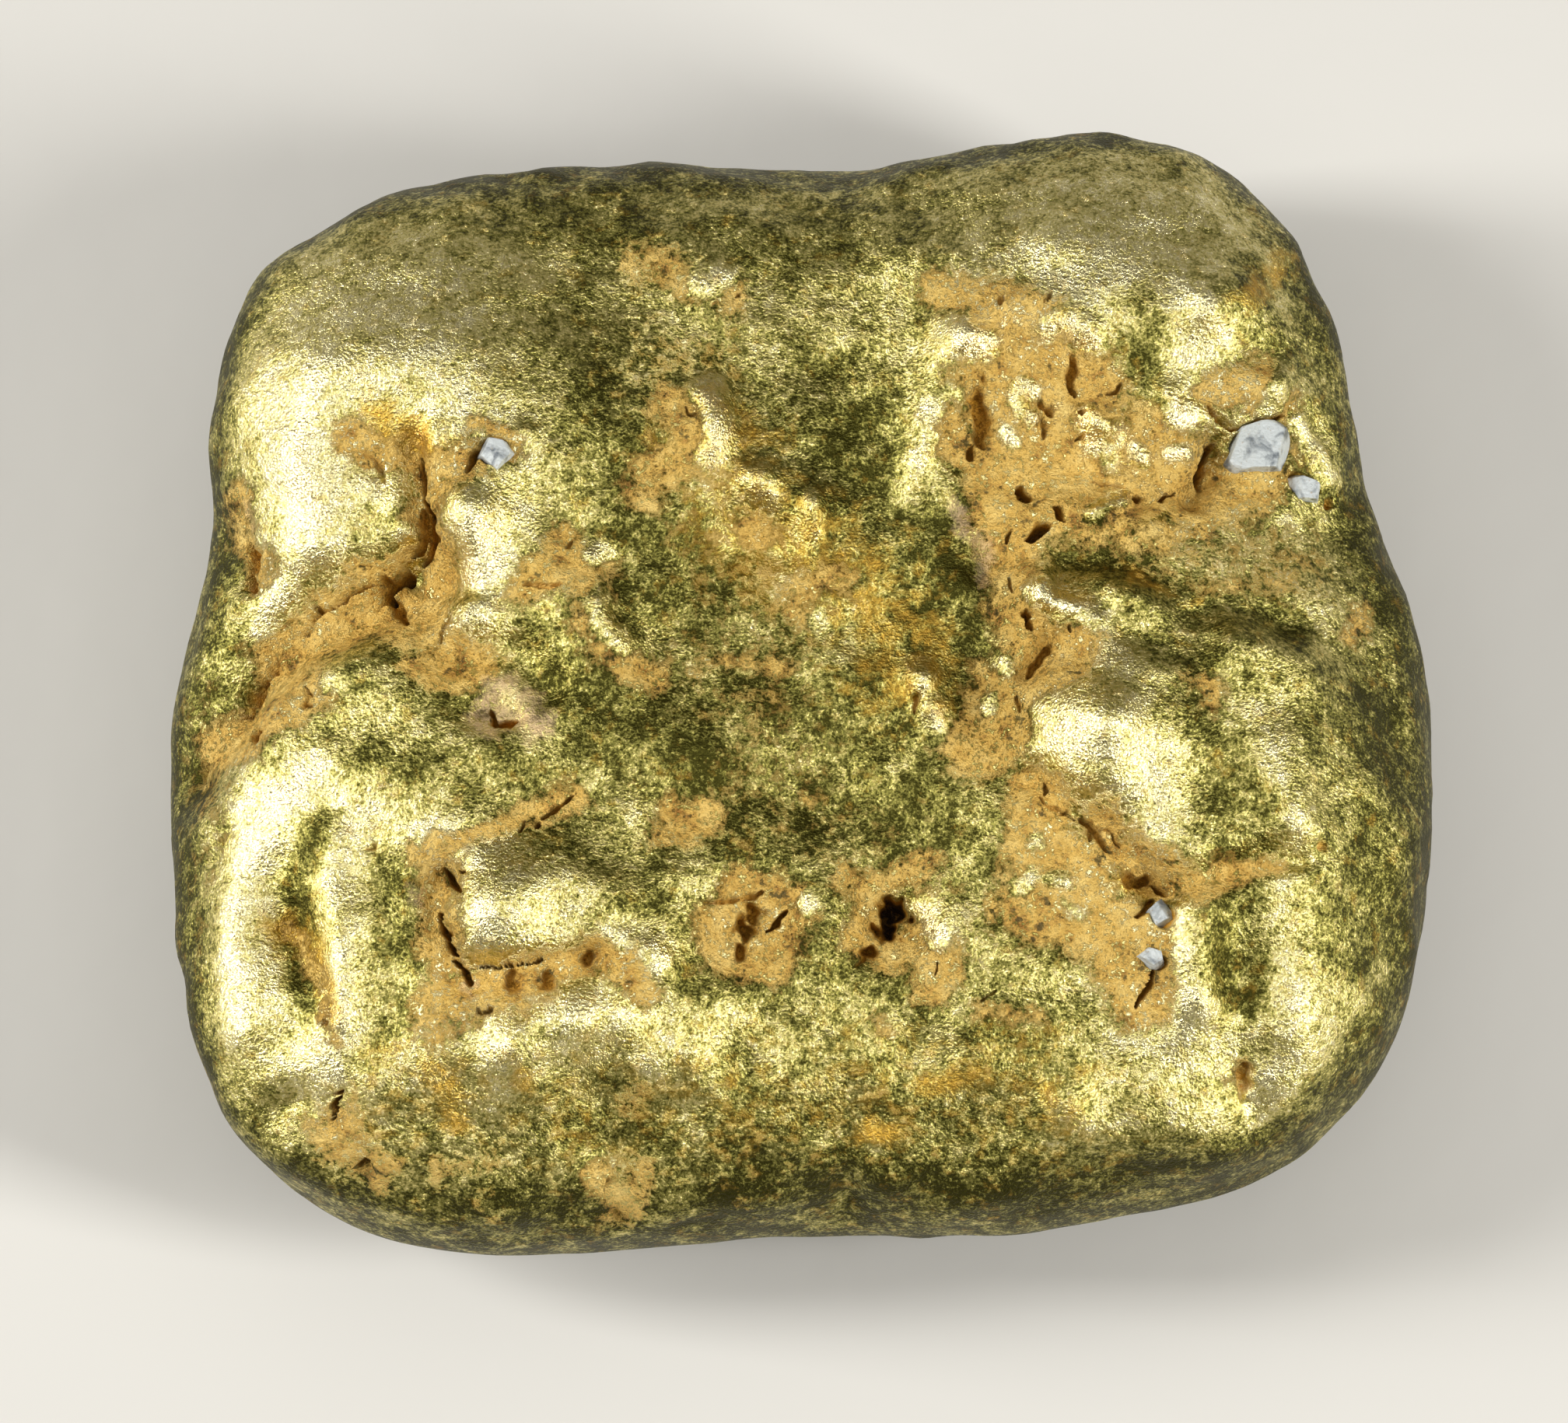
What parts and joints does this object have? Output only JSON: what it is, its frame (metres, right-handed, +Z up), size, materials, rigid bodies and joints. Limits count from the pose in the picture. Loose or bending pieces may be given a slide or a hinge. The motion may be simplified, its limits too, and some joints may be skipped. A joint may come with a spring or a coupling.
{
  "type": "gold nugget",
  "caption": "Water-worn placer gold nugget, squarish and pillow-shaped, with rounded lobes round a dished middle, folds, iron-stained pits and pale quartz grains wedged in them.",
  "frame": {"origin": "on the surface it rests on, under the middle of the nugget", "axes": "+X across the nugget's width to the right of the picture, +Y away from the viewer, +Z up from the worn face it rests on"},
  "size_m": [0.0162, 0.0147, 0.006],
  "materials": {
    "native_gold": "satin",
    "milky_quartz": "satin"
  },
  "bodies": {
    "root": {"gold_nugget": "native_gold", "quartz_grain_upper_right": "milky_quartz", "quartz_chip_upper_right": "milky_quartz", "quartz_grain_upper_left": "milky_quartz", "quartz_grain_lower_right": "milky_quartz", "quartz_chip_lower_right": "milky_quartz"}
  },
  "joints": []
}
